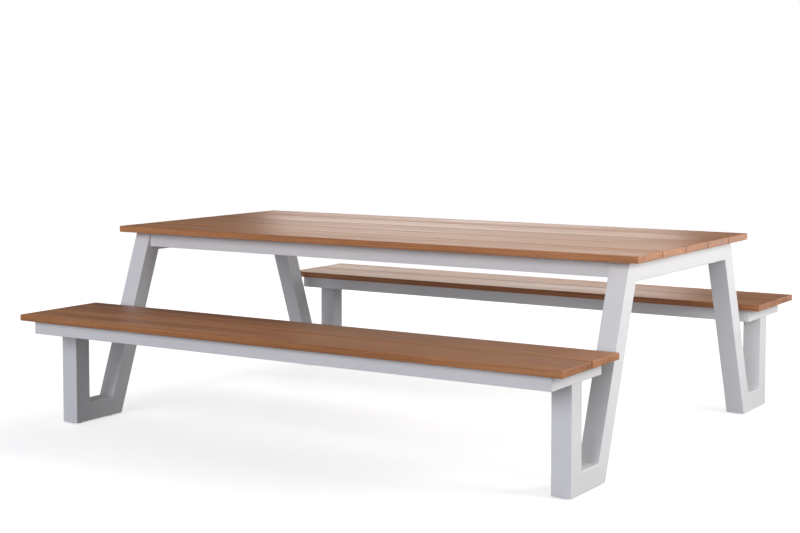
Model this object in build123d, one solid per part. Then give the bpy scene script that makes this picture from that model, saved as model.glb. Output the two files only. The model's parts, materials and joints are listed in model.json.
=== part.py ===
"""Picnic table for outdoor use: hardwood planks on a welded and bolted frame of white steel tube.

The table's length runs along X. The two benches lie along its long sides: the front one at -Y and
the rear one at +Y. Left is -X and right is +X. Z is up, and the origin is on the ground, under the
middle of the table. Everything is in millimetres.
"""

import os

from build123d import *

# Overall sizes
table_length = 2400
table_width = 1090
table_height = 776
overall_width = 2250
seat_height = 463
seat_width = 430

# Planks, the same length on the table and on the benches
table_plank_count = 5
seat_plank_count = 2
table_plank_thickness = 26
seat_plank_thickness = 25
plank_gap = 4
plank_edge_radius = 2.5

# End frames, welded from one size of square tube
tube_size = 76
tube_wall = 3
tube_radius = 2.5
frame_end_inset = 54
leg_top_inset = 51
leg_foot_reach = 764

# Rails of thinner tube
table_rail_width = 40
table_rail_height = 60
seat_rail_width = 30
seat_rail_height = 52
seat_rail_inset = 29
rail_wall = 2
rail_radius = 2
table_rail_end_gap = 1

# Cross bars, channels open downwards that carry the planks
bar_width = 40
bar_height = 25
bar_wall = 3
table_bar_xs = (-554, 0, 554)
seat_bar_xs = (-370, 370)

# Angle brackets in the corners of the table frame
bracket_leaf = 55
bracket_height = 50
bracket_thickness = 5
bracket_drop = 4
bracket_bolt_reach = 34
bracket_bolt_pitch = 26

# Cap plates that close the bench posts and hold the benches
cap_thickness = 5
cap_bolt_x_pitch = 36
cap_bolt_y_pitch = 40

# Bolts (M8 socket head) and washers
bolt_radius = 4
bolt_hole_radius = 4.5
bolt_head_radius = 6.5
bolt_head_height = 8
bolt_socket_radius = 3.4
bolt_socket_depth = 4
bolt_length = 18
bolt_access_radius = 9.5
washer_radius = 8
washer_thickness = 1.6

# Plank screws (pan head, from below)
screw_radius = 2.4
screw_hole_radius = 2.6
screw_length = 21
screw_head_radius = 4.8
screw_head_height = 3
screw_access_radius = 7
table_screw_spread = 77
table_screw_limit = 434
seat_screw_offsets = (-136, -60, 60, 136)

# Levelling feet: a moulded pad on an M10 stud, in an insert welded inside the foot rail
foot_height = 6
foot_play = 0.5
foot_travel = 10
pad_radius = 22
pad_edge_radius = 1.2
stud_radius = 4.9
stud_length = 26
stud_hole_radius = 6
insert_bore_radius = 5.3
insert_across_flats = 17
insert_height = 12
leg_foot_setback = 50

# Derived sizes
frame_top = table_height - table_plank_thickness
seat_frame_top = seat_height - seat_plank_thickness
seat_frame_bottom = seat_frame_top - seat_rail_height
post_top = seat_frame_bottom - cap_thickness
frame_outer_x = table_length / 2 - frame_end_inset
frame_middle_x = frame_outer_x - tube_size / 2
frame_inner_x = frame_outer_x - tube_size
leg_top_reach = table_width / 2 - leg_top_inset
table_rail_inner_y = leg_top_reach - table_rail_width
seat_middle_y = overall_width / 2 - seat_width / 2
seat_frame_width = seat_width - 2 * seat_rail_inset
lean = (leg_foot_reach - leg_top_reach) / (frame_top - foot_height)
leg_half_width = tube_size / 2 * (1 + lean**2) ** 0.5
leg_foot_inner_reach = leg_foot_reach - 2 * leg_half_width

# Names for the two directions along each axis
x_sides = {"left": -1, "right": 1}
y_sides = {"front": -1, "rear": 1}


def tube_profile(width, height, wall, radius):
    """The cross-section of a rectangular tube."""
    outside = RectangleRounded(width, height, radius)
    inside = RectangleRounded(width - 2 * wall, height - 2 * wall, radius / 2)
    return outside - inside


def mitred_tube(profile, side, start, end, start_cut, end_cut):
    """A straight tube from start to end, trimmed there by planes with the normals given."""
    run = (end - start).normalized()
    overrun = tube_size
    base = Plane(origin=start - run * overrun, x_dir=side, z_dir=run)
    tube = extrude(base * profile, amount=(end - start).length + 2 * overrun)
    tube = split(tube, bisect_by=Plane(origin=start, z_dir=start_cut), keep=Keep.TOP)
    return split(tube, bisect_by=Plane(origin=end, z_dir=-end_cut), keep=Keep.TOP)


def along(site, solid):
    """Places a solid made along +Z at a site, which is a point and a direction."""
    point, direction = site
    return Plane(origin=point, z_dir=direction) * solid


def cutters(sites, radius, depth, start=0.0):
    """Round cutters that run forwards from each site."""
    rod = Pos(0, 0, start) * Cylinder(radius, depth, align=(Align.CENTER, Align.CENTER, Align.MIN))
    return [along(site, rod) for site in sites]


def turned(sites):
    """The same points, with the directions reversed."""
    return [(point, -direction) for point, direction in sites]


def drill(solid, *cutter_lists):
    """Cuts away every cutter whose box reaches the solid's box."""
    box = solid.bounding_box()
    reached = [c for group in cutter_lists for c in group if c.bounding_box().overlaps(box)]
    return solid - reached if reached else solid


def plank(width, thickness, x_length=table_length):
    """A plank lying along X with its underside at z = 0 and all its arrises eased."""
    board = Box(x_length, width, thickness, align=(Align.CENTER, Align.CENTER, Align.MIN))
    return fillet(board.edges(), plank_edge_radius)


def plank_rows(count, total_width, middle_y):
    """The y of each plank's middle, and the width that each plank has."""
    width = (total_width - (count - 1) * plank_gap) / count
    first = middle_y - total_width / 2 + width / 2
    return [first + i * (width + plank_gap) for i in range(count)], width


def tabletop_planks():
    """The planks of the tabletop, numbered from front to rear."""
    ys, width = plank_rows(table_plank_count, table_width, 0)
    board = Pos(0, 0, frame_top) * plank(width, table_plank_thickness)
    return {f"tabletop_plank_{i + 1}": Pos(0, y, 0) * board for i, y in enumerate(ys)}


def seat_planks(side):
    """The planks of one bench, numbered from front to rear."""
    ys, width = plank_rows(seat_plank_count, seat_width, y_sides[side] * seat_middle_y)
    board = Pos(0, 0, seat_frame_top) * plank(width, seat_plank_thickness)
    return {f"{side}_seat_plank_{i + 1}": Pos(0, y, 0) * board for i, y in enumerate(ys)}


def end_frame_line():
    """The middle line of an end frame in Y and Z, from the front post's top to the rear post's top."""
    low = foot_height + tube_size / 2
    high = frame_top - tube_size / 2
    leg_low = leg_foot_reach - leg_half_width - lean * tube_size / 2
    leg_high = leg_top_reach - leg_half_width + lean * tube_size / 2
    half = [(seat_middle_y, post_top), (seat_middle_y, low), (leg_low, low), (leg_high, high)]
    front = [(-y, z) for y, z in half]
    return front + half[::-1]


def end_frame(side):
    """The seven mitred tubes of one end frame."""
    x = x_sides[side] * frame_middle_x
    points = [Vector(x, y, z) for y, z in end_frame_line()]
    runs = [(b - a).normalized() for a, b in zip(points, points[1:])]
    middle_cuts = [(a + b).normalized() for a, b in zip(runs, runs[1:])]
    cuts = [runs[0], *middle_cuts, runs[-1]]
    names = ["front_bench_post", "front_foot_rail", "front_slanted_leg", "end_rail"]
    names += ["rear_slanted_leg", "rear_foot_rail", "rear_bench_post"]
    profile = tube_profile(tube_size, tube_size, tube_wall, tube_radius)
    across = Vector(1, 0, 0)
    return {
        f"{side}_{name}": mitred_tube(profile, across, *points[i : i + 2], *cuts[i : i + 2])
        for i, name in enumerate(names)
    }


def table_side_rails():
    """The two long rails between the end frames, held just clear of them by the brackets."""
    profile = tube_profile(table_rail_width, table_rail_height, rail_wall, rail_radius)
    rails = {}
    for side, sign in y_sides.items():
        y = sign * (leg_top_reach - table_rail_width / 2)
        z = frame_top - table_rail_height / 2
        start = Vector(table_rail_end_gap - frame_inner_x, y, z)
        end = Vector(frame_inner_x - table_rail_end_gap, y, z)
        run = Vector(1, 0, 0)
        rails[f"table_side_rail_{side}"] = mitred_tube(profile, Vector(0, 1, 0), start, end, run, run)
    return rails


def cross_bar(length):
    """A channel along Y, open downwards, with its top at z = 0."""
    outside = Box(bar_width, length, bar_height, align=(Align.CENTER, Align.CENTER, Align.MAX))
    outside = fillet(outside.edges().filter_by(Axis.Y).group_by(Axis.Z)[-1], rail_radius)
    hollow_width = bar_width - 2 * bar_wall
    hollow = Box(hollow_width, length, bar_height, align=(Align.CENTER, Align.CENTER, Align.MAX))
    return outside - Pos(0, 0, -bar_wall) * hollow


def table_cross_bars():
    """The channels between the table's side rails."""
    bar = Pos(0, 0, frame_top) * cross_bar(2 * table_rail_inner_y)
    return {f"table_cross_bar_{i + 1}": Pos(x, 0, 0) * bar for i, x in enumerate(table_bar_xs)}


def bench_frame(side):
    """One bench's frame: a mitred rectangle of two side rails and two wide end rails, and cross bars."""
    middle = y_sides[side] * seat_middle_y
    reach = (seat_frame_width - seat_rail_width) / 2
    z = seat_frame_top - seat_rail_height / 2
    slim = tube_profile(seat_rail_width, seat_rail_height, rail_wall, rail_radius)
    wide = tube_profile(tube_size, seat_rail_height, rail_wall, rail_radius)
    pieces = {}
    for place, sign in (("outer", y_sides[side]), ("inner", -y_sides[side])):
        y = middle + sign * reach
        start_cut = Vector(seat_rail_width, sign * tube_size, 0).normalized()
        end_cut = Vector(seat_rail_width, -sign * tube_size, 0).normalized()
        start = Vector(-frame_middle_x, y, z)
        end = Vector(frame_middle_x, y, z)
        pieces[f"{side}_bench_side_rail_{place}"] = mitred_tube(
            slim, Vector(0, 1, 0), start, end, start_cut, end_cut
        )
    for place, sign in x_sides.items():
        start = Vector(sign * frame_middle_x, middle - reach, z)
        end = Vector(sign * frame_middle_x, middle + reach, z)
        start_cut = Vector(sign * seat_rail_width, tube_size, 0).normalized()
        end_cut = Vector(-sign * seat_rail_width, tube_size, 0).normalized()
        pieces[f"{side}_bench_end_rail_{place}"] = mitred_tube(
            wide, Vector(1, 0, 0), start, end, start_cut, end_cut
        )
    bar = Pos(0, middle, seat_frame_top) * cross_bar(seat_frame_width - 2 * seat_rail_width)
    for i, x in enumerate(seat_bar_xs):
        pieces[f"{side}_bench_cross_bar_{i + 1}"] = Pos(x, 0, 0) * bar
    return pieces


def corner_brackets():
    """The angle brackets that join the table's side rails to the end frames."""
    top = frame_top - bracket_drop
    leaf = (bracket_leaf, bracket_thickness, bracket_height)
    low = (Align.MIN, Align.MIN, Align.MAX)
    brackets = {}
    for x_name, x_sign in x_sides.items():
        for y_name, y_sign in y_sides.items():
            angle = Box(*leaf, align=low) + Box(leaf[1], leaf[0], leaf[2], align=low)
            quarter = {(1, 1): 180, (-1, 1): 270, (-1, -1): 0, (1, -1): 90}[(x_sign, y_sign)]
            corner = Pos(x_sign * frame_inner_x, y_sign * table_rail_inner_y, top)
            brackets[f"table_corner_bracket_{x_name}_{y_name}"] = corner * Rot(0, 0, quarter) * angle
    return brackets


def cap_plates():
    """The plates welded on the bench posts' tops."""
    plate = Box(tube_size, tube_size, cap_thickness, align=(Align.CENTER, Align.CENTER, Align.MIN))
    plate = fillet(plate.edges().filter_by(Axis.Z), tube_radius)
    return {
        f"post_cap_plate_{x_name}_{y_name}": Pos(x * frame_middle_x, y * seat_middle_y, post_top) * plate
        for x_name, x in x_sides.items()
        for y_name, y in y_sides.items()
    }


def bracket_bolt_sites():
    """Where each bracket bolt's washer bears on a bracket, and the way that its shank points."""
    middle_z = frame_top - bracket_drop - bracket_height / 2
    sites = []
    for x in x_sides.values():
        for y in y_sides.values():
            for dz in (-bracket_bolt_pitch / 2, bracket_bolt_pitch / 2):
                z = middle_z + dz
                beside_rail = Vector(
                    x * (frame_inner_x - bracket_bolt_reach), y * (table_rail_inner_y - bracket_thickness), z
                )
                beside_frame = Vector(
                    x * (frame_inner_x - bracket_thickness), y * (table_rail_inner_y - bracket_bolt_reach), z
                )
                sites.append((beside_rail, Vector(0, y, 0)))
                sites.append((beside_frame, Vector(x, 0, 0)))
    return sites


def cap_bolt_sites():
    """Where each cap bolt's washer bears inside a bench end rail, on its lower wall."""
    seat = seat_frame_bottom + rail_wall
    return [
        (Vector(x * frame_middle_x + dx, y * seat_middle_y + dy, seat), Vector(0, 0, -1))
        for x in x_sides.values()
        for y in y_sides.values()
        for dx in (-cap_bolt_x_pitch / 2, cap_bolt_x_pitch / 2)
        for dy in (-cap_bolt_y_pitch / 2, cap_bolt_y_pitch / 2)
    ]


def bolt():
    """A socket-head bolt with its shank along +Z, and its head behind a washer at z = 0."""
    shank_length = bolt_length + washer_thickness
    shank = Cylinder(bolt_radius, shank_length, align=(Align.CENTER, Align.CENTER, Align.MIN))
    head = Cylinder(bolt_head_radius, bolt_head_height, align=(Align.CENTER, Align.CENTER, Align.MAX))
    head = chamfer(head.edges().group_by(Axis.Z)[0], 0.8)
    socket = extrude(RegularPolygon(bolt_socket_radius, 6), amount=bolt_socket_depth)
    head = head - Pos(0, 0, -bolt_head_height) * socket
    return Pos(0, 0, -washer_thickness) * (shank + head)


def washer():
    """A flat washer under a bolt's head."""
    ring = Circle(washer_radius) - Circle(bolt_hole_radius)
    return extrude(ring, amount=-washer_thickness)


def screw_sites():
    """Where each plank screw's head bears, under a cross bar's web or inside an end rail's top."""
    table_ys, _ = plank_rows(table_plank_count, table_width, 0)
    ys = [
        max(-table_screw_limit, min(table_screw_limit, y + dy))
        for y in table_ys
        for dy in (-table_screw_spread, table_screw_spread)
    ]
    ends = [sign * frame_middle_x for sign in x_sides.values()]
    spots = [(x, y, frame_top - bar_wall) for x in table_bar_xs for y in ys]
    spots += [(x, y, frame_top - tube_wall) for x in ends for y in ys]
    for sign in y_sides.values():
        ys = [sign * seat_middle_y + dy for dy in seat_screw_offsets]
        spots += [(x, y, seat_frame_top - bar_wall) for x in seat_bar_xs for y in ys]
        spots += [(x, y, seat_frame_top - rail_wall) for x in ends for y in ys]
    return [(Vector(*spot), Vector(0, 0, 1)) for spot in spots]


def screw():
    """A pan-head screw with its shank along +Z and its head under z = 0."""
    shank = Cylinder(screw_radius, screw_length, align=(Align.CENTER, Align.CENTER, Align.MIN))
    shank = chamfer(shank.edges().group_by(Axis.Z)[-1], screw_radius * 0.6)
    head = Cylinder(screw_head_radius, screw_head_height, align=(Align.CENTER, Align.CENTER, Align.MAX))
    head = fillet(head.edges().group_by(Axis.Z)[0], screw_head_height * 0.6)
    return shank + head


def foot_places():
    """The x and y of each levelling foot, by name."""
    places = {}
    for x_name, x in x_sides.items():
        for y_name, y in y_sides.items():
            for spot, reach in (("post", seat_middle_y), ("leg", leg_foot_inner_reach + leg_foot_setback)):
                places[f"{x_name}_{y_name}_{spot}"] = (x * frame_middle_x, y * reach)
    return places


def levelling_foot():
    """A round moulded pad on the ground with its stud standing up, as fully screwed in."""
    pad = Cylinder(pad_radius, foot_height - foot_play, align=(Align.CENTER, Align.CENTER, Align.MIN))
    pad = fillet(pad.edges(), pad_edge_radius)
    stud = Cylinder(stud_radius, stud_length, align=(Align.CENTER, Align.CENTER, Align.MIN))
    return pad + Pos(0, 0, foot_height - foot_play) * stud


def thread_insert():
    """A hexagonal threaded insert standing on a foot rail's lower wall, at z = 0."""
    body = extrude(RegularPolygon(insert_across_flats / 2, 6, major_radius=False), amount=insert_height)
    return body - Cylinder(insert_bore_radius, 3 * insert_height)


def foot_sites():
    """The point and direction of each stud's hole, from under the foot rail."""
    return [(Vector(x, y, foot_height - foot_play), Vector(0, 0, 1)) for x, y in foot_places().values()]


def grouped(sites, solid):
    """Copies of one fastener at every site, as a group of separate solids."""
    return Compound(children=[along(site, solid) for site in sites])


def solid_pieces():
    """Every separate piece but the fasteners, by name, before any hole is drilled."""
    pieces = tabletop_planks()
    for side in y_sides:
        pieces |= seat_planks(side)
    for side in x_sides:
        pieces |= end_frame(side)
    pieces |= table_side_rails() | table_cross_bars() | corner_brackets()
    for side in y_sides:
        pieces |= bench_frame(side)
    return pieces | cap_plates()


def drilled(pieces):
    """The pieces with the holes for every screw, bolt and stud, and the openings to reach them."""
    bolts = bracket_bolt_sites() + cap_bolt_sites()
    holes = [
        *cutters(screw_sites(), screw_hole_radius, screw_length + 2),
        *cutters(bolts, bolt_hole_radius, bolt_length + 2),
        *cutters(foot_sites(), stud_hole_radius, 2 * tube_wall),
    ]
    openings = [
        *cutters(turned(screw_sites()), screw_access_radius, tube_size, bar_height),
        *cutters(turned(cap_bolt_sites()), bolt_access_radius, tube_size, bar_height),
    ]
    return {
        name: drill(piece, holes, openings if "end_rail" in name else [])
        for name, piece in pieces.items()
    }


def fasteners():
    """The groups of identical fasteners, one node each."""
    bolts = bracket_bolt_sites() + cap_bolt_sites()
    inserts = [(point + Vector(0, 0, foot_play + tube_wall), up) for point, up in foot_sites()]
    return {
        "plank_screws": grouped(screw_sites(), screw()),
        "frame_bolts": grouped(bolts, bolt()),
        "bolt_washers": grouped(bolts, washer()),
        "foot_thread_inserts": grouped(inserts, thread_insert()),
    }


def levelling_feet():
    """The eight levelling feet, two under each foot rail."""
    foot = levelling_foot()
    return {f"levelling_foot_{name}": Pos(x, y, 0) * foot for name, (x, y) in foot_places().items()}


os.makedirs("parts", exist_ok=True)
for node, shape in (drilled(solid_pieces()) | fasteners() | levelling_feet()).items():
    export_step(shape, f"parts/{node}.step")
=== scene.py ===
# %% [markdown]
# # A picnic table of steel tube and hardwood
#
# The table is one steel structure with a plank top and two plank benches. The steel and the fasteners
# come in as a finished model, and this file gives them their surfaces. It remakes the pieces where a
# closer look pays off: the boards, the screws that hold them, the weld beads and the levelling feet.
# Lengths are in metres. X runs along the table, Z is up, and the ground is at zero.

# %% Load the frame
import json
import math

import bmesh
import bpy
from mathutils import Matrix, Vector


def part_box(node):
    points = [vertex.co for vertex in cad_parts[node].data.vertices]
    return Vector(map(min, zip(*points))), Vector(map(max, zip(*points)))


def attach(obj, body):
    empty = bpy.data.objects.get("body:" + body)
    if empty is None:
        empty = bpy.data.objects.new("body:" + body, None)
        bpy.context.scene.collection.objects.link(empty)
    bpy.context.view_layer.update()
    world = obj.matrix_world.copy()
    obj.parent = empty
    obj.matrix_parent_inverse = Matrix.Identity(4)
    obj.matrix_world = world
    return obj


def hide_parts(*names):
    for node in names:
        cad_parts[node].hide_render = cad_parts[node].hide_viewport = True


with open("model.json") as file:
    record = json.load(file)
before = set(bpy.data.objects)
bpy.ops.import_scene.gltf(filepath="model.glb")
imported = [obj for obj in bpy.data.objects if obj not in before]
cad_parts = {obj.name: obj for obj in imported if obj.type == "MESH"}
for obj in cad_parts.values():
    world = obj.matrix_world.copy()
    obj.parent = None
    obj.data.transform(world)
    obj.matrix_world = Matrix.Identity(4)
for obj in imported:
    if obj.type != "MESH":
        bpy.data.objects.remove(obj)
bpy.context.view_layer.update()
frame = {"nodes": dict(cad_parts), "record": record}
nodes = frame["nodes"]
millimetre = 0.001

# %% [markdown]
# ## Camera
#
# A long lens from a few metres away keeps the table's long edges nearly parallel, as a furniture
# catalogue does. The camera looks almost level, so that the upright posts stay upright, and the lens is
# shifted down a little in place of tilting further. The camera could also be aimed with a Track To
# constraint, but two plain angles are easier to read and to change.

# %% Camera
camera_place = Vector((3.351, -5.480, 1.326))
camera_turn = math.radians(32.36)
camera_dip = math.radians(3.81)

camera_data = bpy.data.cameras.new("camera")
camera_data.lens = 69.6
camera_data.sensor_width = 36
camera_data.shift_y = -0.083
camera = bpy.data.objects.new("camera", camera_data)
camera.location = camera_place
camera.rotation_euler = (math.pi / 2 - camera_dip, 0, camera_turn)
bpy.context.scene.collection.objects.link(camera)
bpy.context.scene.camera = camera
print("camera stands", round(camera_place.length, 2), "m from the table's middle")

# %% [markdown]
# ## Small helpers
#
# Nearly every step below makes a material, a node or an object, and each takes Blender a few lines. Three
# short functions do it once. An operator such as a primitive from the Add menu could make objects too, but
# operators depend on what is selected, and these don't.


# %% Small helpers
def new_material(name):
    """A material with an empty node tree, and the tree."""
    material = bpy.data.materials.new(name)
    material.use_nodes = True
    material.node_tree.nodes.clear()
    return material, material.node_tree


def add(tree, kind, **settings):
    """Adds a node to a tree and sets its properties."""
    node = tree.nodes.new(kind)
    for key, value in settings.items():
        setattr(node, key, value)
    return node


def new_object(name, mesh):
    """Links a new object for a mesh into the scene."""
    thing = bpy.data.objects.new(name, mesh)
    bpy.context.scene.collection.objects.link(thing)
    return thing


# %% [markdown]
# ## Floor
#
# The floor is a wide pale disc. It stays white to the camera but is dimmer as a light, so that it doesn't
# wash out the shading of the rails from below. Two materials on two floors could do the same, but one
# material that asks whether a ray comes from the camera keeps the shadows where they belong.


# %% Floor
def floor_material():
    """Bright to the camera, with soft shadows, and duller as a light on the object."""
    material, tree = new_material("studio_floor")
    seen = add(tree, "ShaderNodeLightPath")
    dull = add(tree, "ShaderNodeBsdfDiffuse")
    dull.inputs["Color"].default_value = (0.34, 0.34, 0.35, 1)
    white = add(tree, "ShaderNodeBsdfDiffuse")
    white.inputs["Color"].default_value = (0.80, 0.80, 0.80, 1)
    glow = add(tree, "ShaderNodeEmission")
    glow.inputs["Strength"].default_value = 0.62
    lit = add(tree, "ShaderNodeAddShader")
    mixed = add(tree, "ShaderNodeMixShader")
    output = add(tree, "ShaderNodeOutputMaterial")
    tree.links.new(white.outputs["BSDF"], lit.inputs[0])
    tree.links.new(glow.outputs["Emission"], lit.inputs[1])
    tree.links.new(seen.outputs["Is Camera Ray"], mixed.inputs["Fac"])
    tree.links.new(dull.outputs["BSDF"], mixed.inputs[1])
    tree.links.new(lit.outputs["Shader"], mixed.inputs[2])
    tree.links.new(mixed.outputs["Shader"], output.inputs["Surface"])
    return material


floor_radius = 60
floor_mesh = bpy.data.meshes.new("studio_floor")
floor_shape = bmesh.new()
bmesh.ops.create_circle(floor_shape, cap_ends=True, radius=floor_radius, segments=96)
floor_shape.to_mesh(floor_mesh)
floor_shape.free()
floor_mesh.materials.append(floor_material())
new_object("studio_floor", floor_mesh)
print("floor:", 2 * floor_radius, "m across")

# %% [markdown]
# ## Light
#
# The table stands in a plain studio. A soft box near the right end makes the ends of the tubes there the
# brightest faces and leaves the far end darker, because its light falls off with distance. A wide, cool
# light in front keeps the long sides readable. A low soft box behind draws a pale sheen over the boards,
# which shows that they are planed and oiled, and weaker lights at the back, on the left and overhead open
# the shadows. Sun lamps could do for all, but only a light that is near falls off across the table. The
# backdrop, like the floor, is white to the camera and dim as a light.


# %% Light
def sun(name, towards, spread, strength, colour):
    """A distant light in a direction from the object, softened by its spread in degrees."""
    data = bpy.data.lights.new(name, "SUN")
    data.angle = math.radians(spread)
    data.energy = strength
    data.color = colour
    light = bpy.data.objects.new(name, data)
    light.rotation_euler = Vector(towards).to_track_quat("Z", "Y").to_euler()
    bpy.context.scene.collection.objects.link(light)


def soft_box(name, place, target, size, power, colour):
    """A rectangular light at a place, turned towards a target, which the camera doesn't see."""
    data = bpy.data.lights.new(name, "AREA")
    data.shape = "RECTANGLE"
    data.size, data.size_y = size
    data.energy = power
    data.color = colour
    light = bpy.data.objects.new(name, data)
    light.location = place
    light.rotation_euler = (Vector(place) - Vector(target)).to_track_quat("Z", "Y").to_euler()
    light.visible_camera = False
    bpy.context.scene.collection.objects.link(light)


world = bpy.data.worlds.new("studio")
world.use_nodes = True
bpy.context.scene.world = world
sky = world.node_tree
sky.nodes.clear()
seen = add(sky, "ShaderNodeLightPath")
lighting = add(sky, "ShaderNodeBackground")
lighting.inputs["Color"].default_value = (0.90, 0.93, 1.0, 1)
lighting.inputs["Strength"].default_value = 0.14
backdrop = add(sky, "ShaderNodeBackground")
backdrop.inputs["Color"].default_value = (1, 1, 1, 1)
backdrop.inputs["Strength"].default_value = 1.0
mixed = add(sky, "ShaderNodeMixShader")
sky_output = add(sky, "ShaderNodeOutputWorld")
sky.links.new(seen.outputs["Is Camera Ray"], mixed.inputs["Fac"])
sky.links.new(lighting.outputs["Background"], mixed.inputs[1])
sky.links.new(backdrop.outputs["Background"], mixed.inputs[2])
sky.links.new(mixed.outputs["Shader"], sky_output.inputs["Surface"])

soft_box("key_light", (3.8, -0.3, 1.6), (0.9, 0.0, 0.5), (1.6, 1.4), 64, (1.0, 0.99, 0.97))
soft_box("sheen_light", (-2.15, 4.2, 1.6), (0.0, 0.0, 0.7), (3.0, 1.2), 32, (1.0, 0.93, 0.87))
soft_box("rim_light", (2.7, 3.3, 1.1), (0.0, 0.4, 0.4), (1.4, 1.4), 30, (0.98, 0.98, 1.0))
sun("front_light", (0.05, -0.85, 0.30), 40, 1.7, (0.92, 0.93, 1.0))
sun("left_light", (-1.0, 0.12, 0.16), 40, 0.8, (0.95, 0.96, 1.0))
sun("overhead_light", (0.25, 0.80, 0.85), 25, 0.85, (1.0, 0.98, 0.95))
bpy.context.scene.view_settings.view_transform = "Standard"

# %% [markdown]
# ## Helpers for the surfaces
#
# Every finish here is made of the same few steps: noise, a ramp that turns it into colour, a span that turns
# it into roughness, a bump, and the surface that takes them all. Each step is one function, so that a finish
# below reads as a recipe. Roughness and colour vary through nodes, while a number that is the same all over
# is set on the surface's own socket.


# %% Helpers for the surfaces
def noise(tree, vector, scale, detail=3.0, roughness=0.5):
    """Noise over a vector, with its value from 0 to 1."""
    node = add(tree, "ShaderNodeTexNoise")
    node.inputs["Scale"].default_value = scale
    node.inputs["Detail"].default_value = detail
    node.inputs["Roughness"].default_value = roughness
    tree.links.new(vector, node.inputs["Vector"])
    return node.outputs["Fac"]


def ramp(tree, value, *stops):
    """A colour ramp over a value; a stop is a position and a colour, or one number for a grey."""
    node = add(tree, "ShaderNodeValToRGB")
    elements = node.color_ramp.elements
    while len(elements) < len(stops):
        elements.new(0.5)
    for element, (position, colour) in zip(elements, stops):
        element.position = position
        element.color = (*colour, 1) if isinstance(colour, tuple) else (colour, colour, colour, 1)
    tree.links.new(value, node.inputs["Fac"])
    return node.outputs["Color"]


def blend_colours(tree, kind, factor, below, above):
    """Mixes two colours; the factor and both colours are sockets or plain values."""
    node = add(tree, "ShaderNodeMix", data_type="RGBA", blend_type=kind)
    for socket, value in ((node.inputs[0], factor), (node.inputs[6], below), (node.inputs[7], above)):
        if isinstance(value, bpy.types.NodeSocket):
            tree.links.new(value, socket)
        else:
            socket.default_value = value
    return node.outputs[2]


def span(tree, value, low, high, out_low, out_high):
    """Maps a value from one span to another, held at the ends."""
    node = add(tree, "ShaderNodeMapRange")
    for key, number in zip(("From Min", "From Max", "To Min", "To Max"), (low, high, out_low, out_high)):
        node.inputs[key].default_value = number
    tree.links.new(value, node.inputs["Value"])
    return node.outputs["Result"]


def bump(tree, height, strength, distance, below=None):
    """Bump from a height, on top of another bump if there is one."""
    node = add(tree, "ShaderNodeBump")
    node.inputs["Strength"].default_value = strength
    node.inputs["Distance"].default_value = distance
    tree.links.new(height, node.inputs["Height"])
    if below is not None:
        tree.links.new(below, node.inputs["Normal"])
    return node.outputs["Normal"]


def surface(tree, colour, roughness, normal, constants):
    """A Principled surface; the constants are set on its own sockets, by their names."""
    shader = add(tree, "ShaderNodeBsdfPrincipled")
    for key, value in constants.items():
        shader.inputs[key].default_value = value
    tree.links.new(colour, shader.inputs["Base Color"])
    tree.links.new(roughness, shader.inputs["Roughness"])
    tree.links.new(normal, shader.inputs["Normal"])
    output = add(tree, "ShaderNodeOutputMaterial")
    tree.links.new(shader.outputs["BSDF"], output.inputs["Surface"])


print("materials so far:", len(bpy.data.materials))

# %% [markdown]
# ## Powder coating
#
# The steel is sprayed with powder and baked, which leaves a satin skin with a faint orange peel. A flat
# white would look like plastic, so the colour drifts a little over a tube's length, the gloss varies in
# patches, the peel is a fine bump, and dust from the ground greys the last few centimetres.


# %% Powder coating
def powder_coating():
    """White satin powder coat on steel tube."""
    material, tree = new_material("powder_coating")
    place = add(tree, "ShaderNodeTexCoord").outputs["Object"]
    height = add(tree, "ShaderNodeSeparateXYZ")
    tree.links.new(place, height.inputs["Vector"])
    drift = ramp(tree, noise(tree, place, 3.0), (0.3, (0.76, 0.765, 0.78)), (0.7, (0.81, 0.812, 0.815)))
    dust_amount = span(tree, height.outputs["Z"], 0.0, 0.09, 0.18, 0.0)
    dust_spots = ramp(tree, noise(tree, place, 60.0, 6.0, 0.65), (0.42, 0.0), (0.66, 1.0))
    dust = add(tree, "ShaderNodeMath", operation="MULTIPLY")
    tree.links.new(dust_amount, dust.inputs[0])
    tree.links.new(dust_spots, dust.inputs[1])
    colour = blend_colours(tree, "MIX", dust.outputs[0], drift, (0.42, 0.40, 0.37, 1))
    roughness = span(tree, noise(tree, place, 9.0, 4.0), 0.3, 0.7, 0.36, 0.50)
    peel = bump(tree, noise(tree, place, 520.0, 2.0), 0.12, 0.0006)
    surface(tree, colour, roughness, peel, {"IOR": 1.5})
    return material


coating = powder_coating()


def dress(names, material):
    """Gives CAD nodes one material."""
    for name in names:
        mesh = nodes[name].data
        mesh.materials.clear()
        mesh.materials.append(material)


slots = {entry["node"]: entry["material_slot"] for entry in frame["record"]["subparts"]}
coated = [name for name, slot in slots.items() if slot == "white_coating"]
dress(coated, coating)
print("coated pieces:", len(coated))

# %% [markdown]
# ## Hardwood
#
# The boards are a dense brown tropical hardwood, sawn lengthwise and oiled. On each board the grain comes
# from its own part of the tree, so the pattern is read from a place inside the board and a number for the
# board, which the boards carry as attributes. Growth rings are rings about a line beside the board, drawn
# out along its length. Fine fibres and open pores lie over them, in colour and in bump.


# %% Hardwood
def stretched(tree, vector, scale):
    """A vector scaled by a different amount on each axis."""
    node = add(tree, "ShaderNodeMapping")
    node.inputs["Scale"].default_value = scale
    tree.links.new(vector, node.inputs["Vector"])
    return node.outputs["Vector"]


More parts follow.
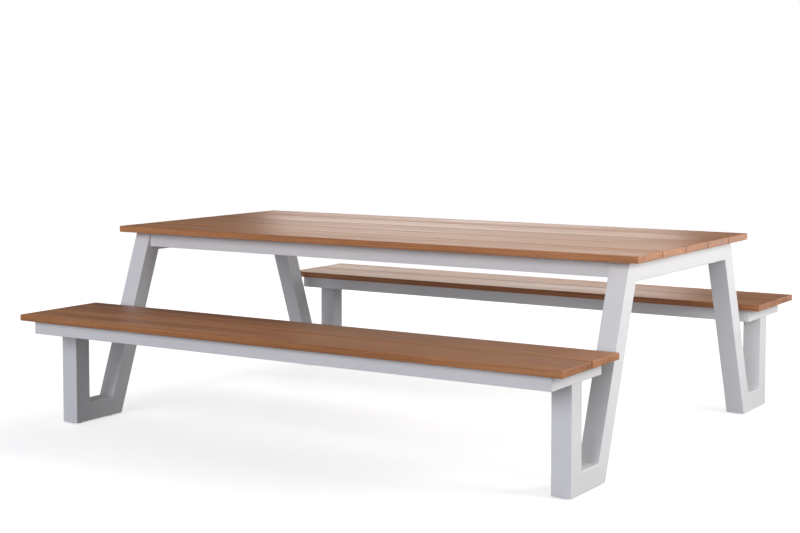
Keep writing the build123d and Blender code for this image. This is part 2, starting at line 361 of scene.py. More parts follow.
def board_sample(tree):
    """Each board's own place in the tree, and three random numbers for the board."""
    place = add(tree, "ShaderNodeAttribute", attribute_name="board_place").outputs["Vector"]
    number = add(tree, "ShaderNodeAttribute", attribute_name="board_number").outputs["Fac"]
    chance = add(tree, "ShaderNodeTexWhiteNoise", noise_dimensions="1D")
    tree.links.new(number, chance.inputs["W"])
    shift = add(tree, "ShaderNodeVectorMath", operation="MULTIPLY_ADD")
    tree.links.new(chance.outputs["Color"], shift.inputs[0])
    shift.inputs[1].default_value = (9.0, 0.20, 0.05)
    tree.links.new(place, shift.inputs[2])
    return shift.outputs["Vector"], chance


def hardwood():
    """Oiled brown hardwood with growth rings, fibres and pores."""
    material, tree = new_material("hardwood")
    place, chance = board_sample(tree)
    board = add(tree, "ShaderNodeSeparateColor")
    tree.links.new(chance.outputs["Color"], board.inputs["Color"])

    rings = add(tree, "ShaderNodeTexWave", wave_type="RINGS", rings_direction="X", wave_profile="SIN")
    for key, value in {"Scale": 26.0, "Distortion": 5.5, "Detail": 2.5, "Detail Scale": 0.7}.items():
        rings.inputs[key].default_value = value
    tree.links.new(stretched(tree, place, (0.10, 1.0, 1.6)), rings.inputs["Vector"])
    streaks = noise(tree, stretched(tree, place, (0.55, 26.0, 26.0)), 1.0, 4.0, 0.6)
    fibres = noise(tree, stretched(tree, place, (6.0, 420.0, 420.0)), 1.0, 3.0, 0.6)
    pores = noise(tree, stretched(tree, place, (45.0, 1100.0, 1100.0)), 1.0, 1.0)

    base = ramp(
        tree,
        streaks,
        (0.28, (0.31, 0.118, 0.038)),
        (0.50, (0.50, 0.215, 0.080)),
        (0.72, (0.66, 0.320, 0.140)),
    )
    late = ramp(tree, rings.outputs["Fac"], (0.35, 1.0), (0.95, (0.72, 0.62, 0.55)))
    ringed = blend_colours(tree, "MULTIPLY", 0.75, base, late)
    fibrous = blend_colours(tree, "MULTIPLY", 0.8, ringed, ramp(tree, fibres, (0.32, 0.72), (0.62, 1.08)))
    pore_shade = ramp(tree, pores, (0.30, (0.42, 0.34, 0.30)), (0.40, 1.0))
    porous = blend_colours(tree, "MULTIPLY", 0.7, fibrous, pore_shade)
    tone = ramp(tree, board.outputs["Green"], (0.0, (0.84, 0.80, 0.78)), (1.0, (1.14, 1.10, 1.06)))
    colour = blend_colours(tree, "MULTIPLY", 1.0, porous, tone)

    roughness = span(tree, streaks, 0.30, 0.70, 0.30, 0.54)
    relief = bump(tree, fibres, 0.35, 0.0003)
    relief = bump(tree, pores, 0.30, 0.0003, relief)
    surface(tree, colour, roughness, relief, {"IOR": 1.48})
    return material


wood = hardwood()
print("hardwood nodes:", len(wood.node_tree.nodes))

# %% [markdown]
# ## The boards
#
# A tabletop and a bench are the same thing: a row of equal boards with narrow gaps. One board is modelled
# with eased arrises, and a Geometry Nodes tree repeats it across. The tree also writes down each board's
# number and each point's place inside its board for the hardwood, trims every board by a hair so that the
# ends don't line up perfectly, and lets the faces undulate by a few tenths of a millimetre, as planed
# timber does. An Array modifier could repeat the board too, but couldn't number the copies.


# %% One board
board_arris = 2.5 * millimetre
board_stations = 16


def settle_order(elements, place):
    """Puts a mesh's vertices or faces in the order of their places."""
    for index, element in enumerate(sorted(elements, key=place)):
        element.index = index
    elements.sort()


def board_mesh(name, length, width, thickness):
    """A board about the origin with rounded arrises, cut into stations along its length."""
    shape = bmesh.new()
    bmesh.ops.create_cube(shape, size=1)
    bmesh.ops.scale(shape, vec=(length, width, thickness), verts=shape.verts)
    bmesh.ops.bevel(
        shape,
        geom=shape.edges[:],
        offset=board_arris,
        segments=4,
        profile=0.5,
        affect="EDGES",
        clamp_overlap=True,
    )
    for face in shape.faces:
        face.smooth = max(abs(c) for c in face.normal) < 0.999
    for i in range(1, board_stations):
        x = -length / 2 + length * i / board_stations
        everything = shape.verts[:] + shape.edges[:] + shape.faces[:]
        bmesh.ops.bisect_plane(shape, geom=everything, plane_co=(x, 0, 0), plane_no=(1, 0, 0))
    # the operators above leave the faces in an order that changes from run to run
    settle_order(shape.verts, lambda vert: vert.co[:])
    settle_order(shape.faces, lambda face: face.calc_center_median()[:])
    mesh = bpy.data.meshes.new(name)
    shape.to_mesh(mesh)
    shape.free()
    return mesh


print("board arris:", board_arris, "m, stations:", board_stations)

# %% [markdown]
# ## Helpers for Geometry Nodes
#
# A tree has named inputs for its sizes. They are set by each socket's identifier before the object is first
# evaluated, because a modifier doesn't know its inputs by name. Links are written as a list of pairs, which
# reads like the wires in the node editor.


# %% Helpers for Geometry Nodes
def node_group(name, inputs):
    """A Geometry Nodes group with a geometry input, the named inputs and a geometry output."""
    group = bpy.data.node_groups.new(name, "GeometryNodeTree")
    group.interface.new_socket("Geometry", in_out="INPUT", socket_type="NodeSocketGeometry")
    for title, kind in inputs.items():
        group.interface.new_socket(title, in_out="INPUT", socket_type=kind)
    group.interface.new_socket("Geometry", in_out="OUTPUT", socket_type="NodeSocketGeometry")
    return group, add(group, "NodeGroupInput"), add(group, "NodeGroupOutput")


def set_inputs(modifier, **values):
    """Sets a Geometry Nodes modifier's inputs by the sockets' names."""
    for item in modifier.node_group.interface.items_tree:
        key = item.name.lower().replace(" ", "_")
        if item.in_out == "INPUT" and key in values:
            modifier[item.identifier] = values[key]


def wire(tree, *pairs):
    """Links pairs of sockets."""
    for source, target in pairs:
        tree.links.new(source, target)


print("trees so far:", len(bpy.data.node_groups))

# %% [markdown]
# ## The tree that repeats boards
#
# A line of points, one pitch apart, stands for the row, and each point takes a copy of the board. Points
# could be placed by hand for a few boards, but a count and a pitch make the tabletop and both benches with
# one tree.


# %% The tree that repeats boards
def board_row_tree():
    """Repeats its object's board along Y, numbers the copies and roughens them a little."""
    group, start, end = node_group(
        "board_row",
        {
            "Boards": "NodeSocketInt",
            "Pitch": "NodeSocketFloat",
            "Middle": "NodeSocketVector",
            "Trim": "NodeSocketFloat",
            "Waviness": "NodeSocketFloat",
            "Seed": "NodeSocketInt",
            "Material": "NodeSocketMaterial",
        },
    )
    place = add(group, "GeometryNodeInputPosition")
    remember = add(group, "GeometryNodeStoreNamedAttribute", data_type="FLOAT_VECTOR", domain="POINT")
    remember.inputs["Name"].default_value = "board_place"

    reach = add(group, "ShaderNodeMath", operation="MULTIPLY_ADD")
    reach.inputs[1].default_value = -0.5
    half_pitch = add(group, "ShaderNodeMath", operation="MULTIPLY")
    half_pitch.inputs[1].default_value = 0.5
    rows = add(group, "ShaderNodeCombineXYZ")
    first = add(group, "ShaderNodeCombineXYZ")
    from_middle = add(group, "ShaderNodeVectorMath", operation="ADD")
    full = add(group, "ShaderNodeMath", operation="MULTIPLY")
    line = add(group, "GeometryNodeMeshLine", mode="OFFSET")
    copies = add(group, "GeometryNodeInstanceOnPoints")
    number = add(group, "GeometryNodeInputIndex")
    numbered = add(group, "GeometryNodeStoreNamedAttribute", data_type="FLOAT", domain="INSTANCE")
    numbered.inputs["Name"].default_value = "board_number"
    salt = add(group, "ShaderNodeMath", operation="ADD")

    chance = add(group, "FunctionNodeRandomValue", data_type="FLOAT")
    chance.inputs["Max"].default_value = 1.0
    cut = add(group, "ShaderNodeMath", operation="MULTIPLY_ADD")
    cut.inputs[2].default_value = 1.0
    cut_scale = add(group, "ShaderNodeCombineXYZ")
    cut_scale.inputs["Y"].default_value = 1.0
    cut_scale.inputs["Z"].default_value = 1.0
    negative = add(group, "ShaderNodeMath", operation="MULTIPLY")
    negative.inputs[1].default_value = -1.0
    trimmed = add(group, "GeometryNodeScaleInstances")
    real = add(group, "GeometryNodeRealizeInstances")

    swell = add(group, "ShaderNodeTexNoise")
    swell.inputs["Scale"].default_value = 2.2
    swell.inputs["Detail"].default_value = 1.0
    inward = add(group, "ShaderNodeMath", operation="MULTIPLY")
    normal = add(group, "GeometryNodeInputNormal")
    push = add(group, "ShaderNodeVectorMath", operation="SCALE")
    downward = add(group, "ShaderNodeMath", operation="MULTIPLY")
    downward.inputs[1].default_value = -1.0
    moved = add(group, "GeometryNodeSetPosition")
    coloured = add(group, "GeometryNodeSetMaterial")

    wire(
        group,
        (start.outputs["Geometry"], remember.inputs["Geometry"]),
        (place.outputs["Position"], remember.inputs["Value"]),
        (start.outputs["Pitch"], half_pitch.inputs[0]),
        (start.outputs["Boards"], full.inputs[0]),
        (start.outputs["Pitch"], full.inputs[1]),
        (full.outputs[0], reach.inputs[0]),
        (half_pitch.outputs[0], reach.inputs[2]),
        (reach.outputs[0], first.inputs["Y"]),
        (first.outputs["Vector"], from_middle.inputs[0]),
        (start.outputs["Middle"], from_middle.inputs[1]),
        (start.outputs["Pitch"], rows.inputs["Y"]),
        (start.outputs["Boards"], line.inputs["Count"]),
        (from_middle.outputs["Vector"], line.inputs["Start Location"]),
        (rows.outputs["Vector"], line.inputs["Offset"]),
        (line.outputs["Mesh"], copies.inputs["Points"]),
        (remember.outputs["Geometry"], copies.inputs["Instance"]),
        (copies.outputs["Instances"], numbered.inputs["Geometry"]),
        (number.outputs["Index"], salt.inputs[0]),
        (start.outputs["Seed"], salt.inputs[1]),
        (salt.outputs[0], numbered.inputs["Value"]),
        (start.outputs["Seed"], chance.inputs["Seed"]),
        (start.outputs["Trim"], negative.inputs[0]),
        (chance.outputs[1], cut.inputs[0]),
        (negative.outputs[0], cut.inputs[1]),
        (cut.outputs[0], cut_scale.inputs["X"]),
        (numbered.outputs["Geometry"], trimmed.inputs["Instances"]),
        (cut_scale.outputs["Vector"], trimmed.inputs["Scale"]),
        (trimmed.outputs["Instances"], real.inputs["Geometry"]),
        (swell.outputs["Fac"], inward.inputs[0]),
        (start.outputs["Waviness"], inward.inputs[1]),
        (inward.outputs[0], downward.inputs[0]),
        (normal.outputs["Normal"], push.inputs[0]),
        (downward.outputs[0], push.inputs["Scale"]),
        (real.outputs["Geometry"], moved.inputs["Geometry"]),
        (push.outputs["Vector"], moved.inputs["Offset"]),
        (moved.outputs["Geometry"], coloured.inputs["Geometry"]),
        (start.outputs["Material"], coloured.inputs["Material"]),
        (coloured.outputs["Geometry"], end.inputs["Geometry"]),
    )
    return group


board_row = board_row_tree()
print("board row nodes:", len(board_row.nodes))

# %% [markdown]
# ## Boards of the tabletop and the benches
#
# Each row takes its count, pitch and middle from the CAD planks that it stands for. The modifier could stay
# on the piece, but its result becomes a plain mesh in its place.


# %% Boards of the tabletop and the benches
def baked(name, maker):
    """Replaces an object that has modifiers by one with their result as its mesh."""
    graph = bpy.context.evaluated_depsgraph_get()
    mesh = bpy.data.meshes.new_from_object(maker.evaluated_get(graph), depsgraph=graph)
    mesh.name = name
    bpy.data.objects.remove(maker)
    return new_object(name, mesh)


longest_trim = 0.0007  # as a part of the board's length
waviness = 0.3 * millimetre


def board_row_piece(name, replaced, seed):
    """A row of boards in the places of the CAD planks."""
    boxes = [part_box(node) for node in replaced]
    size = boxes[0][1] - boxes[0][0]
    low, high = boxes[0][0], boxes[-1][1]
    pitch = boxes[1][0].y - boxes[0][0].y
    maker = new_object(name + "_maker", board_mesh(name + "_board", *size))
    modifier = maker.modifiers.new("row", "NODES")
    modifier.node_group = board_row
    set_inputs(
        modifier,
        boards=len(boxes),
        pitch=pitch,
        middle=(low + high) / 2,
        trim=longest_trim,
        waviness=waviness,
        seed=seed,
        material=wood,
    )
    piece = baked(name, maker)
    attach(piece, "table")
    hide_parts(*replaced)
    print(name, "boards:", len(boxes), "faces:", len(piece.data.polygons))


def numbered_nodes(prefix):
    """The CAD nodes with a prefix, in the order of their names."""
    return sorted(name for name in nodes if name.startswith(prefix))


board_row_piece("tabletop_boards", numbered_nodes("tabletop_plank_"), seed=3)
board_row_piece("front_seat_boards", numbered_nodes("front_seat_plank_"), seed=11)
board_row_piece("rear_seat_boards", numbered_nodes("rear_seat_plank_"), seed=23)

# %% [markdown]
# ## Stainless steel and moulded plastic
#
# The bolts, washers, screws and studs are plain stainless steel. Turning leaves fine rings on it, which
# scatter the light, and handling leaves it cloudy, so the gloss changes from spot to spot. The pads of the
# feet are black nylon: nearly even in colour, with a spark-eroded grain, and rubbed pale with dust low down.


# %% Stainless steel and moulded plastic
def stainless_steel():
    """Bare turned stainless steel, a little cloudy."""
    material, tree = new_material("stainless_steel")
    place = add(tree, "ShaderNodeTexCoord").outputs["Object"]
    clouds = noise(tree, place, 90.0, 4.0, 0.6)
    colour = ramp(tree, clouds, (0.30, (0.47, 0.465, 0.45)), (0.70, (0.64, 0.635, 0.62)))
    turning = noise(tree, stretched(tree, place, (400.0, 400.0, 5200.0)), 1.0, 2.0)
    roughness = span(tree, turning, 0.30, 0.70, 0.24, 0.44)
    relief = bump(tree, turning, 0.20, 0.0001)
    surface(tree, colour, roughness, relief, {"Metallic": 1.0})
    return material


def moulded_nylon():
    """Black nylon with a moulded grain and dust near the ground."""
    material, tree = new_material("moulded_nylon")
    place = add(tree, "ShaderNodeTexCoord").outputs["Object"]
    height = add(tree, "ShaderNodeSeparateXYZ")
    tree.links.new(place, height.inputs["Vector"])
    grain = noise(tree, place, 2600.0, 2.0, 0.6)
    shades = (0.30, (0.020, 0.020, 0.022)), (0.70, (0.036, 0.036, 0.038))
    flow = ramp(tree, noise(tree, place, 45.0, 3.0), *shades)
    dust_spots = ramp(tree, noise(tree, place, 160.0, 5.0, 0.7), (0.44, 0.0), (0.62, 1.0))
    dust = add(tree, "ShaderNodeMath", operation="MULTIPLY")
    tree.links.new(span(tree, height.outputs["Z"], 0.0, 0.006, 0.6, 0.1), dust.inputs[0])
    tree.links.new(dust_spots, dust.inputs[1])
    colour = blend_colours(tree, "MIX", dust.outputs[0], flow, (0.22, 0.20, 0.18, 1))
    roughness = span(tree, grain, 0.30, 0.70, 0.46, 0.62)
    relief = bump(tree, grain, 0.35, 0.0002)
    surface(tree, colour, roughness, relief, {"IOR": 1.53})
    return material


steel = stainless_steel()
nylon = moulded_nylon()
steel_nodes = ["frame_bolts", "bolt_washers", "foot_thread_inserts"]
dress(steel_nodes, steel)
print("steel pieces:", len(steel_nodes))

# %% [markdown]
# ## Turned shapes
#
# Screws, studs and pads are turned or moulded round an axis, so one helper makes them all from rings of
# points with a radius and a height. Where a ring isn't round, a factor by angle makes it so, which gives the
# lobes of a screw's recess and a thread, a ridge that climbs as it goes round. A Screw modifier could wind
# the thread, but would leave it open at both ends.


# %% Turned shapes
sharp_angle = math.radians(35)


def turned(name, rings, segments):
    """A closed turned solid; a ring is a radius, a height and, where it isn't round, a factor by angle."""
    shape = bmesh.new()
    loops = []
    for radius, z, *factor in rings:
        loop = []
        for i in range(segments):
            angle = 2 * math.pi * i / segments
            reach = radius * (factor[0](angle) if factor else 1)
            loop.append(shape.verts.new((reach * math.cos(angle), reach * math.sin(angle), z)))
        loops.append(loop)
    for lower, upper in zip(loops, loops[1:]):
        for i in range(segments):
            j = (i + 1) % segments
            shape.faces.new((lower[i], lower[j], upper[j], upper[i]))
    shape.faces.new(loops[0])
    shape.faces.new(loops[-1])
    bmesh.ops.recalc_face_normals(shape, faces=shape.faces[:])
    for face in shape.faces:
        face.smooth = True
    for edge in shape.edges:
        edge.smooth = edge.calc_face_angle(0) < sharp_angle
    mesh = bpy.data.meshes.new(name)
    shape.to_mesh(mesh)
    shape.free()
    return mesh


def threaded(radius, low, high, pitch, depth, steps):
    """The rings of a threaded rod, whose ridge climbs by one pitch in each turn."""

    def ridge(turns):
        return lambda angle: 1 - depth * abs(2 * ((turns - angle / math.tau) % 1) - 1)

    rings = []
    count = round((high - low) / pitch * steps)
    for i in range(count + 1):
        z = low + (high - low) * i / count
        rings.append((radius, z, ridge((z - low) / pitch)))
    return rings


def lobed(angle):
    """A six-lobed recess's radius by angle, as a part of its largest."""
    return 0.88 + 0.12 * math.cos(6 * angle)


def islands(name):
    """The lowest and highest corners of each separate solid in a CAD node, from a merged copy."""
    shape = bmesh.new()
    shape.from_mesh(nodes[name].data)
    bmesh.ops.remove_doubles(shape, verts=shape.verts, dist=1e-5)
    seen = set()
    boxes = []
    for start in shape.verts:
        if start in seen:
            continue
        seen.add(start)
        waiting, found = [start], []
        while waiting:
            vert = waiting.pop()
            found.append(vert.co.copy())
            for edge in vert.link_edges:
                other = edge.other_vert(vert)
                if other not in seen:
                    seen.add(other)
                    waiting.append(other)
        boxes.append([Vector(pick(p[i] for p in found) for i in range(3)) for pick in (min, max)])
    shape.free()
    return boxes


screw_boxes = islands("plank_screws")
print("plank screws:", len(screw_boxes))

# %% [markdown]
# ## One plank screw
#
# Every board is held from below by pan-head wood screws with a six-lobed recess, so that the tops show
# none. The head, the recess and the thread are one list of rings. They repeat dozens of times and are small,
# so the rings are few.


# %% One plank screw
screw_head_height = 3 * millimetre
screw_segments = 18


def screw_mesh(head_radius, head_height, length):
    """A pan-head wood screw standing on its head, with the seat of the head at z = 0."""
    shank, pitch, recess = 0.5 * head_radius, 2.2 * millimetre, 0.46 * head_radius
    rings = [(0.85 * recess, -0.45 * head_height, lobed), (recess, -0.99 * head_height, lobed)]
    rings.append((1.25 * recess, -head_height))
    for i in range(1, 6):
        turn = i / 5 * math.pi / 2
        rise = 1.25 * recess + (head_radius - 1.25 * recess) * math.sin(turn)
        rings.append((rise, -0.30 * head_height - 0.70 * head_height * math.cos(turn)))
    rings += [(head_radius, 0), (shank, 0)]
    rings += threaded(shank, 0.2 * pitch, length - pitch, pitch, 0.28, 3)
    rings.append((0.12 * shank, length))
    return turned("plank_screw", rings, screw_segments)


print("segments round a screw:", screw_segments)

# %% [markdown]
# ## Plank screws
#
# The tree puts one screw on every point that it is given, and turns each one about its own axis by a
# random angle, because no two screws stop at the same place. The points come from the CAD screws.


# %% Plank screws
def fastener_tree():
    """Puts its object's fastener on each point, turned about its axis by a random angle."""
    group, start, end = node_group(
        "fasteners_on_points",
        {"Fastener": "NodeSocketObject", "Seed": "NodeSocketInt", "Material": "NodeSocketMaterial"},
    )
    shape = add(group, "GeometryNodeObjectInfo")
    chance = add(group, "FunctionNodeRandomValue", data_type="FLOAT")
    chance.inputs[3].default_value = math.tau
    turn = add(group, "ShaderNodeCombineXYZ")
    copies = add(group, "GeometryNodeInstanceOnPoints")
    real = add(group, "GeometryNodeRealizeInstances")
    coloured = add(group, "GeometryNodeSetMaterial")
    wire(
        group,
        (start.outputs["Fastener"], shape.inputs["Object"]),
        (start.outputs["Seed"], chance.inputs["Seed"]),
        (chance.outputs[1], turn.inputs["Z"]),
        (start.outputs["Geometry"], copies.inputs["Points"]),
        (shape.outputs["Geometry"], copies.inputs["Instance"]),
        (turn.outputs["Vector"], copies.inputs["Rotation"]),
        (copies.outputs["Instances"], real.inputs["Geometry"]),
        (real.outputs["Geometry"], coloured.inputs["Geometry"]),
        (start.outputs["Material"], coloured.inputs["Material"]),
        (coloured.outputs["Geometry"], end.inputs["Geometry"]),
    )
    return group


def plank_screws(boxes):
    """All the plank screws, each with its head where the CAD screw has it."""
    low, high = boxes[0]
    head_radius = (high.x - low.x) / 2
    length = high.z - low.z - screw_head_height
    fastener = new_object("plank_screw_model", screw_mesh(head_radius, screw_head_height, length))
    seats = bpy.data.meshes.new("plank_screw_seats")
    places = [((a.x + b.x) / 2, (a.y + b.y) / 2, a.z + screw_head_height) for a, b in boxes]
    seats.from_pydata(places, [], [])
    maker = new_object("plank_screws_maker", seats)
    modifier = maker.modifiers.new("screws", "NODES")
    modifier.node_group = fastener_tree()
    set_inputs(modifier, fastener=fastener, seed=5, material=steel)
    piece = baked("plank_screws_driven", maker)
    bpy.data.objects.remove(fastener)
    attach(piece, "table")
    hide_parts("plank_screws")
    print("screws:", len(boxes), "faces:", len(piece.data.polygons))


plank_screws(screw_boxes)

# %% [markdown]
# ## Levelling feet
#
# Each foot is a nylon pad moulded on a threaded stud, screwed into an insert in the foot rail. Fingers turn
# it by the flutes round the pad's rim. The pad and the stud ride on the foot's own body, so that they go
# down together, and the stud shows its thread when they do.


# %% Levelling feet
pad_height = 5.5 * millimetre
stud_radius = 4.9 * millimetre
flutes = 24


def fluted(angle):
    """The radius of a pad's rim by angle, as a part of its largest, with a shallow dip at each flute."""
    return 1 - 0.022 * (0.5 + 0.5 * math.cos(flutes * angle)) ** 2


def pad_mesh(radius, height):
    """A pad with a fluted rim, a hollow below and a dished top that rises to the stud."""
    edge = 0.16 * height
    rings = [
        (0.52 * radius, 0.10 * height),
        (0.56 * radius, 0.0),
        (radius - 2.2 * edge, 0.0),
        (radius - 0.9 * edge, 0.3 * edge),
        (radius - 0.2 * edge, 1.1 * edge, fluted),
        (radius, 2.0 * edge, fluted),
        (radius, 3.9 * edge, fluted),
        (radius - 0.3 * edge, 4.7 * edge, fluted),
        (radius - 1.2 * edge, 5.2 * edge),
        (0.78 * radius, 0.84 * height),
        (0.42 * radius, 0.86 * height),
        (0.36 * radius, 0.96 * height),
        (0.33 * radius, height),
    ]
    return turned("foot_pad", rings, 6 * flutes)


def stud_mesh(radius, low, high):
    """A threaded stud with chamfered ends."""
    pitch, chamfer = 1.5 * millimetre, 1.0 * millimetre
    rings = [(0.80 * radius, low)]
    rings += threaded(radius, low + 0.1 * chamfer, high - chamfer, pitch, 0.13, 6)
    rings.append((0.76 * radius, high))
    return turned("foot_stud", rings, 24)


def levelling_foot(node):
    """The pad and the stud of one foot, in place of its CAD node."""
    low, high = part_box(node)
    middle = (low + high) / 2
    body = node.replace("levelling_foot", "foot")
    pad = new_object(node + "_pad", pad_mesh((high.x - low.x) / 2, pad_height))
    stud = new_object(node + "_stud", stud_mesh(stud_radius, 0.6 * pad_height, high.z - low.z))
    for piece, material, slot in ((pad, nylon, "foot_plastic"), (stud, steel, "stainless_steel")):
        piece.data.transform(Matrix.Translation((middle.x, middle.y, low.z)))
        piece.data.materials.append(material)
        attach(piece, body)
    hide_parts(node)


feet = numbered_nodes("levelling_foot_")
for foot in feet:
    levelling_foot(foot)
print("levelling feet:", len(feet))

# %% [markdown]
# ## Seams
#
# The outer seams of the frames are ground flush before coating, but the inner corners are left as welded.
# Where two tubes meet, the seam runs across them, a little short of their rounded edges. Its two ends come
# from the tubes' own boxes, so the beads stay with the frame if its sizes change. The seams could be found
# by intersecting the tubes, but a box already has the corners.


# %% Seams
frame_bead_radius = 3.4 * millimetre
bar_bead_radius = 2.4 * millimetre


def seam_lines():
    """The start, end and outward direction of each inner seam, and the radius of its bead."""
    seams = []
    setback = 6 * millimetre
    for x_name in ("left", "right"):
        for y_name, y_sign in (("front", -1), ("rear", 1)):
            unit = f"{x_name}_{y_name}"
            post, rail, leg, top = (
                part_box(name)
                for name in (
                    unit + "_bench_post",
                    unit + "_foot_rail",
                    unit + "_slanted_leg",
                    x_name + "_end_rail",
                )
            )
            post_reach, leg_reach = (sorted((abs(box[0].y), abs(box[1].y))) for box in (post, leg))
            corners = (
                (post_reach[0], rail[1].z, Vector((0, -y_sign, 1))),
                (leg_reach[1], rail[1].z, Vector((0, y_sign, 1))),
                (leg_reach[0], top[0].z, Vector((0, -y_sign, -1))),
            )
            for y, z, outward in corners:
                ends = [(x, y_sign * y, z) for x in (post[0].x + setback, post[1].x - setback)]
                seams.append((*ends, outward.normalized(), frame_bead_radius))
    bars = [name for name in nodes if "_cross_bar_" in name]
    for name in bars:
        low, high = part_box(name)
        for x, x_sign in ((low.x, -1), (high.x, 1)):
            for y, y_sign in ((low.y, 1), (high.y, -1)):
                ends = [(x, y, z) for z in (low.z + 1 * millimetre, high.z - 3 * millimetre)]
                seams.append((*ends, Vector((x_sign, y_sign, 0)).normalized(), bar_bead_radius))
    return seams


seams = seam_lines()
print("seams:", len(seams))

# %% [markdown]
# ## The tree that draws a bead
#
# A bead is a row of small overlapping pools, frozen as crescents. The tree sweeps a round section along
# each seam, narrows it at both ends, and then raises the crescents: their phase runs along the seam, and
# lags where the bead stands highest. The lag needs to know which way is out, so each seam carries that
# direction as an attribute. A bump texture would be quicker, but the crescents show in the outline.


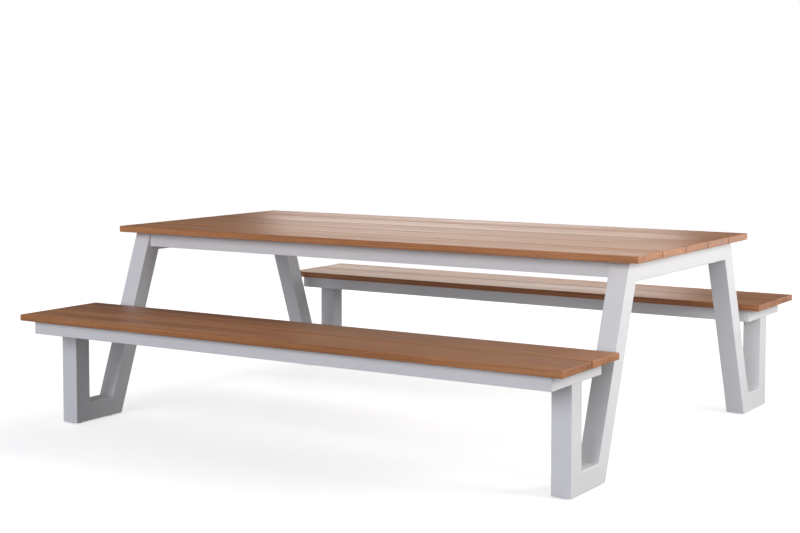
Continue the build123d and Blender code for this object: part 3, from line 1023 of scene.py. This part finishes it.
# %% The tree that draws a bead
def bead_tree():
    """Sweeps a rippled bead along every edge of its mesh."""
    group, start, end = node_group(
        "weld_bead",
        {
            "Step": "NodeSocketFloat",
            "Pool Pitch": "NodeSocketFloat",
            "Pool Height": "NodeSocketFloat",
            "Unevenness": "NodeSocketFloat",
            "Material": "NodeSocketMaterial",
        },
    )
    paths = add(group, "GeometryNodeMeshToCurve")
    fine = add(group, "GeometryNodeResampleCurve", mode="LENGTH")
    place = add(group, "GeometryNodeInputPosition")
    spline = add(group, "GeometryNodeSplineParameter")
    size = add(group, "GeometryNodeInputNamedAttribute", data_type="FLOAT")
    size.inputs["Name"].default_value = "bead_radius"
    outward = add(group, "GeometryNodeInputNamedAttribute", data_type="FLOAT_VECTOR")
    outward.inputs["Name"].default_value = "bead_outward"
    keep_place = add(group, "GeometryNodeStoreNamedAttribute", data_type="FLOAT_VECTOR", domain="POINT")
    keep_place.inputs["Name"].default_value = "bead_line"
    line = add(group, "GeometryNodeInputNamedAttribute", data_type="FLOAT_VECTOR")
    line.inputs["Name"].default_value = "bead_line"
    keep_length = add(group, "GeometryNodeStoreNamedAttribute", data_type="FLOAT", domain="POINT")
    keep_length.inputs["Name"].default_value = "bead_length"
    length = add(group, "GeometryNodeInputNamedAttribute", data_type="FLOAT")
    length.inputs["Name"].default_value = "bead_length"

    def maths(operation, *values):
        """A maths node over sockets and plain values."""
        node = add(group, "ShaderNodeMath", operation=operation)
        for socket, value in zip(node.inputs, values):
            if isinstance(value, bpy.types.NodeSocket):
                group.links.new(value, socket)
            else:
                socket.default_value = value
        return node.outputs[0]

    from_end = maths("PINGPONG", spline.outputs["Factor"], 0.5)
    widening, width_at_end = 14.0, 0.5
    wide = maths("MULTIPLY_ADD", from_end, widening, width_at_end)
    taper = maths("POWER", maths("MINIMUM", wide, 1.0), 0.5)
    section = add(group, "GeometryNodeCurvePrimitiveCircle")
    section.inputs["Resolution"].default_value = 12
    section.inputs["Radius"].default_value = 1.0
    swept = add(group, "GeometryNodeCurveToMesh")
    swept.inputs["Fill Caps"].default_value = True

    across = add(group, "ShaderNodeVectorMath", operation="SUBTRACT")
    height = add(group, "ShaderNodeVectorMath", operation="DOT_PRODUCT")
    pools_of_lag = 0.55
    out_from_line = maths("DIVIDE", height.outputs["Value"], size.outputs["Attribute"])
    lag = maths("MULTIPLY", out_from_line, pools_of_lag)
    phase = maths("SUBTRACT", maths("DIVIDE", length.outputs["Attribute"], start.outputs["Pool Pitch"]), lag)
    pool = maths("MULTIPLY", maths("POWER", maths("PINGPONG", phase, 0.5), 0.5), start.outputs["Pool Height"])
    drift = add(group, "ShaderNodeTexNoise")
    drift.inputs["Scale"].default_value = 260.0
    drift.inputs["Detail"].default_value = 1.0
    raised = maths("ADD", pool, maths("MULTIPLY", drift.outputs["Fac"], start.outputs["Unevenness"]))
    normal = add(group, "GeometryNodeInputNormal")
    push = add(group, "ShaderNodeVectorMath", operation="SCALE")
    moved = add(group, "GeometryNodeSetPosition")
    smooth = add(group, "GeometryNodeSetShadeSmooth")
    real = add(group, "GeometryNodeRealizeInstances")
    coloured = add(group, "GeometryNodeSetMaterial")
    wire(
        group,
        (start.outputs["Geometry"], paths.inputs["Mesh"]),
        (paths.outputs["Curve"], fine.inputs["Curve"]),
        (start.outputs["Step"], fine.inputs["Length"]),
        (fine.outputs["Curve"], keep_place.inputs["Geometry"]),
        (place.outputs["Position"], keep_place.inputs["Value"]),
        (keep_place.outputs["Geometry"], keep_length.inputs["Geometry"]),
        (spline.outputs["Length"], keep_length.inputs["Value"]),
        (keep_length.outputs["Geometry"], swept.inputs["Curve"]),
        (section.outputs["Curve"], swept.inputs["Profile Curve"]),
        (maths("MULTIPLY", taper, size.outputs["Attribute"]), swept.inputs["Scale"]),
        (place.outputs["Position"], across.inputs[0]),
        (line.outputs["Attribute"], across.inputs[1]),
        (across.outputs["Vector"], height.inputs[0]),
        (outward.outputs["Attribute"], height.inputs[1]),
        (normal.outputs["Normal"], push.inputs[0]),
        (raised, push.inputs["Scale"]),
        (swept.outputs["Mesh"], moved.inputs["Geometry"]),
        (push.outputs["Vector"], moved.inputs["Offset"]),
        (moved.outputs["Geometry"], smooth.inputs["Geometry"]),
        (smooth.outputs["Geometry"], real.inputs["Geometry"]),
        (real.outputs["Geometry"], coloured.inputs["Geometry"]),
        (start.outputs["Material"], coloured.inputs["Material"]),
        (coloured.outputs["Geometry"], end.inputs["Geometry"]),
    )
    return group


bead = bead_tree()
print("bead nodes:", len(bead.nodes))

# %% [markdown]
# ## Weld beads
#
# All the seams are edges of one mesh, so the beads are one piece, coated with the frames that they join.


# %% Weld beads
def weld_beads(seams):
    """One piece with a bead on every seam."""
    mesh = bpy.data.meshes.new("seam_lines")
    ends = [corner for first, last, *_ in seams for corner in (first, last)]
    mesh.from_pydata(ends, [(2 * i, 2 * i + 1) for i in range(len(seams))], [])
    radii = mesh.attributes.new("bead_radius", "FLOAT", "POINT")
    outwards = mesh.attributes.new("bead_outward", "FLOAT_VECTOR", "POINT")
    for i, (_, _, outward, radius) in enumerate(seams):
        for point in (2 * i, 2 * i + 1):
            radii.data[point].value = radius
            outwards.data[point].vector = outward
    maker = new_object("weld_beads_maker", mesh)
    modifier = maker.modifiers.new("beads", "NODES")
    modifier.node_group = bead
    set_inputs(
        modifier,
        step=0.45 * millimetre,
        pool_pitch=2.4 * millimetre,
        pool_height=0.7 * millimetre,
        unevenness=0.5 * millimetre,
        material=coating,
    )
    piece = baked("weld_beads", maker)
    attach(piece, "table")
    print("weld beads:", len(seams), "faces:", len(piece.data.polygons))


weld_beads(seams)
